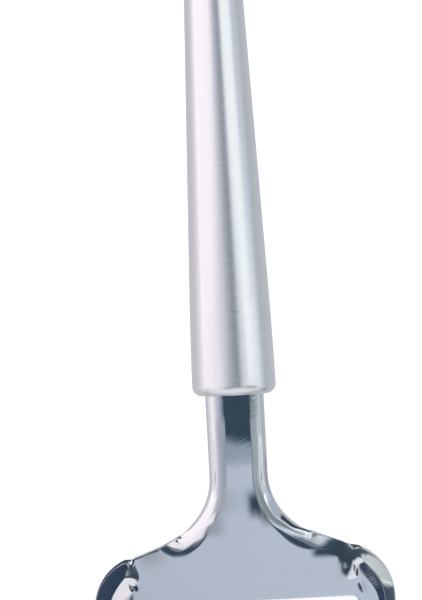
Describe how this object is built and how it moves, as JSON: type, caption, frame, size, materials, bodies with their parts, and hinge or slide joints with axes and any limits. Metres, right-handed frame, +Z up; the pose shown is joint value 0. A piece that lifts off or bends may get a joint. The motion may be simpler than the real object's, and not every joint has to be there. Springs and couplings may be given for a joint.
{
  "type": "cheese slicer",
  "caption": "Cheese plane: a stamped steel blade head with a slicing slot and raised side ribs, on a tapered hollow steel handle with a swinging hanging ring.",
  "frame": {"origin": "on the table under the middle of the tool as it lies, with the handle level, the collar and the blade's nose on the table, and the ring drooping to it", "axes": "+Y along the handle from the blade to the handle's end, +X across the tool, +Z up from the table, out of the plate's upper face"},
  "size_m": [0.0766, 0.25, 0.0211],
  "materials": {
    "polished_steel": "mirror-polished stainless sheet with faint polishing lines",
    "satin_steel": "satin stainless, brushed round the handle",
    "cap_steel": "fine turned stainless",
    "ring_steel": "polished stainless wire",
    "plug_plastic": "moulded plastic"
  },
  "bodies": {
    "slicer": {"blade_head": "polished_steel", "handle_tube": "satin_steel", "front_cap": "cap_steel", "tang_plug": "plug_plastic", "end_cap": "satin_steel"},
    "ring": {"hanging_ring": "ring_steel"}
  },
  "joints": [
    {"name": "ring_swing", "type": "hinge", "parent": "slicer", "child": "ring", "pos_m": [0, 0.10631, 0.01057], "axis": [1, 0, 0], "range_deg": [-121.8, 178.2]}
  ]
}
